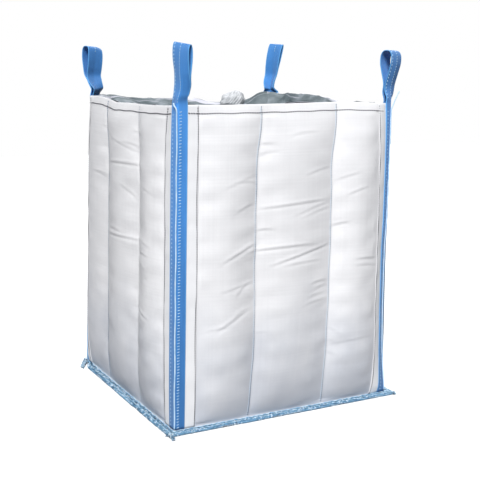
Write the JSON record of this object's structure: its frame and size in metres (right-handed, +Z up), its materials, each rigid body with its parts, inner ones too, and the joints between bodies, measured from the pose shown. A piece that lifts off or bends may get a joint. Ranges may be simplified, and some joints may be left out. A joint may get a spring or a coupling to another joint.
{
  "type": "bulk bag",
  "caption": "Square woven bulk bag with baffled walls in upright pillows, blue corner straps that rise into hinged lifting loops, a bound bottom seam and a tied top skirt.",
  "frame": {"origin": "centre of the bag's base, on the surface it stands on", "axes": "+Z up; the front wall faces -Y and the left wall faces -X"},
  "size_m": [0.982, 0.982, 1.335],
  "materials": {
    "woven_fabric": "white woven cloth, slightly glossy tapes",
    "reinforcement_fabric": "doubled white woven cloth",
    "webbing": "bright blue woven webbing",
    "piping": "pale blue cord",
    "skirt_fabric": "thin grey translucent woven cloth",
    "tie_tape": "white flat tape",
    "binding_thread": "pale blue overlock thread",
    "dark_thread": "dark grey sewing thread",
    "seam_thread": "blue-grey sewing thread",
    "pale_thread": "pale blue sewing thread"
  },
  "bodies": {
    "bag": {"front_panel": "woven_fabric", "right_panel": "woven_fabric", "back_panel": "woven_fabric", "left_panel": "woven_fabric", "bottom_panel": "woven_fabric", "bottom_binding_front": "binding_thread", "bottom_binding_right": "binding_thread", "bottom_binding_back": "binding_thread", "bottom_binding_left": "binding_thread", "corner_reinforcement_front_left": "reinforcement_fabric", "corner_reinforcement_front_right": "reinforcement_fabric", "corner_reinforcement_back_right": "reinforcement_fabric", "corner_reinforcement_back_left": "reinforcement_fabric", "corner_strap_front_left": "webbing", "corner_strap_front_right": "webbing", "corner_strap_back_right": "webbing", "corner_strap_back_left": "webbing", "inner_leg_front_left": "webbing", "inner_leg_front_right": "webbing", "inner_leg_back_right": "webbing", "inner_leg_back_left": "webbing", "corner_piping_front_left": "piping", "corner_piping_front_right": "piping", "corner_piping_back_right": "piping", "corner_piping_back_left": "piping", "baffle_front_left": "woven_fabric", "baffle_front_right": "woven_fabric", "baffle_back_right": "woven_fabric", "baffle_back_left": "woven_fabric", "top_skirt": "skirt_fabric", "skirt_tie": "tie_tape", "hem_stitching": "dark_thread", "baffle_seam_stitching": "seam_thread", "reinforcement_stitching": "dark_thread", "strap_stitching": "pale_thread"},
    "loop_front_left": {"lifting_loop_front_left": "webbing"},
    "loop_front_right": {"lifting_loop_front_right": "webbing"},
    "loop_back_right": {"lifting_loop_back_right": "webbing"},
    "loop_back_left": {"lifting_loop_back_left": "webbing"}
  },
  "joints": [
    {"name": "front_left_loop_hinge", "type": "hinge", "parent": "bag", "child": "loop_front_left", "pos_m": [-0.433, -0.433, 1.182], "axis": [0.7071, -0.7071, 0], "range_deg": [-110, 120]},
    {"name": "front_right_loop_hinge", "type": "hinge", "parent": "bag", "child": "loop_front_right", "pos_m": [0.433, -0.433, 1.182], "axis": [0.7071, 0.7071, 0], "range_deg": [-110, 120]},
    {"name": "back_right_loop_hinge", "type": "hinge", "parent": "bag", "child": "loop_back_right", "pos_m": [0.433, 0.433, 1.182], "axis": [-0.7071, 0.7071, 0], "range_deg": [-110, 120]},
    {"name": "back_left_loop_hinge", "type": "hinge", "parent": "bag", "child": "loop_back_left", "pos_m": [-0.433, 0.433, 1.182], "axis": [-0.7071, -0.7071, 0], "range_deg": [-110, 120]}
  ]
}
